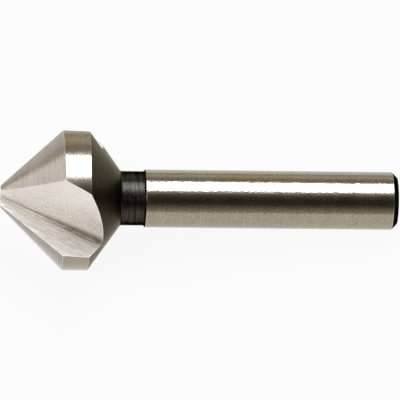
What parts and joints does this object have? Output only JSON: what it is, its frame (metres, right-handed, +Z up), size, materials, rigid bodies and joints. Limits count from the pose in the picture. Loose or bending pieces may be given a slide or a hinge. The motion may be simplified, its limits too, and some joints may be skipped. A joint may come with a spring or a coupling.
{
  "type": "countersink bit",
  "caption": "Straight-flute countersink with a 90 degree relieved cutting cone, short land, back cone, slim neck and plain round shank.",
  "frame": {"origin": "floor level, under the middle of the footprint of the bit lying at rest", "axes": "+Z up; +X along the bit from the cutting tip to the shank's free end, with the tip end raised; -Y is the front"},
  "size_m": [0.0688, 0.025, 0.0238],
  "materials": {
    "tool_steel": "ground tool steel with a warm cast; neck, back cone and shank-end chamfer blackened"
  },
  "bodies": {
    "root": {"countersink_bit": "tool_steel"}
  },
  "joints": []
}
